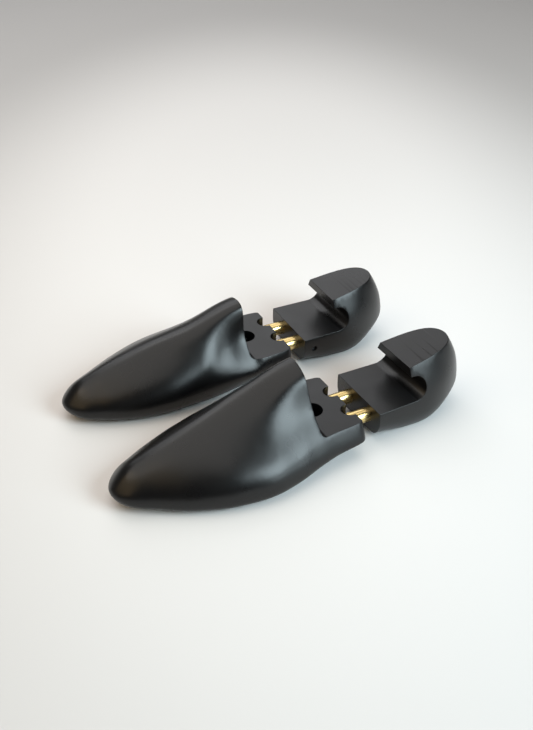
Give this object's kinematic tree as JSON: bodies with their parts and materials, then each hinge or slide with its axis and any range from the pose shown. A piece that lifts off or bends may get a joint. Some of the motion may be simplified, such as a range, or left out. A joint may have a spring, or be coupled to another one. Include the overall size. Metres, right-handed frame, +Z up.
{
  "type": "pair of lasted shoe trees",
  "caption": "Pair of lasted wooden shoe trees in black satin lacquer, each a forepart and a heel joined by sprung twin brass tubes",
  "frame": {"origin": "on the floor, at the centre of the pair's footprint", "axes": "+Z up, toes point along -Y and heels along +Y, the left tree stands at +X and the right tree at -X"},
  "size_m": [0.2152, 0.2954, 0.0723],
  "materials": {
    "lacquered_wood": "satin black lacquer",
    "polished_brass": "polished",
    "black_nylon": "moulded",
    "spring_steel": "drawn wire",
    "turned_steel": "turned",
    "dark_steel": "blackened"
  },
  "bodies": {
    "left_toe": {"left_toe_block": "lacquered_wood", "left_toe_pin": "dark_steel", "left_medial_sleeve": "black_nylon", "left_medial_spring": "spring_steel", "left_lateral_sleeve": "black_nylon", "left_lateral_spring": "spring_steel"},
    "left_heel": {"left_heel_block": "lacquered_wood", "left_heel_pin": "dark_steel", "left_medial_tube": "polished_brass", "left_medial_tube_plug": "turned_steel", "left_lateral_tube": "polished_brass", "left_lateral_tube_plug": "turned_steel"},
    "right_toe": {"right_toe_block": "lacquered_wood", "right_toe_pin": "dark_steel", "right_medial_sleeve": "black_nylon", "right_medial_spring": "spring_steel", "right_lateral_sleeve": "black_nylon", "right_lateral_spring": "spring_steel"},
    "right_heel": {"right_heel_block": "lacquered_wood", "right_heel_pin": "dark_steel", "right_medial_tube": "polished_brass", "right_medial_tube_plug": "turned_steel", "right_lateral_tube": "polished_brass", "right_lateral_tube_plug": "turned_steel"}
  },
  "joints": [
    {"name": "left_heel_slide", "type": "slide", "parent": "left_toe", "child": "left_heel", "axis": [0.014, -0.9999, 0], "range_m": [0, 0.012], "stiffness_N_per_m": 1200, "springref_m": -0.01, "deforming": ["left_medial_spring", "left_lateral_spring"]},
    {"name": "right_heel_slide", "type": "slide", "parent": "right_toe", "child": "right_heel", "axis": [-0.014, -0.9999, 0], "range_m": [0, 0.012], "stiffness_N_per_m": 1200, "springref_m": -0.01, "deforming": ["right_medial_spring", "right_lateral_spring"]},
    {"name": "right_tree_lift", "type": "slide", "parent": "left_toe", "child": "right_toe", "axis": [0, 0, 1], "range_m": [0, 0.15]}
  ]
}
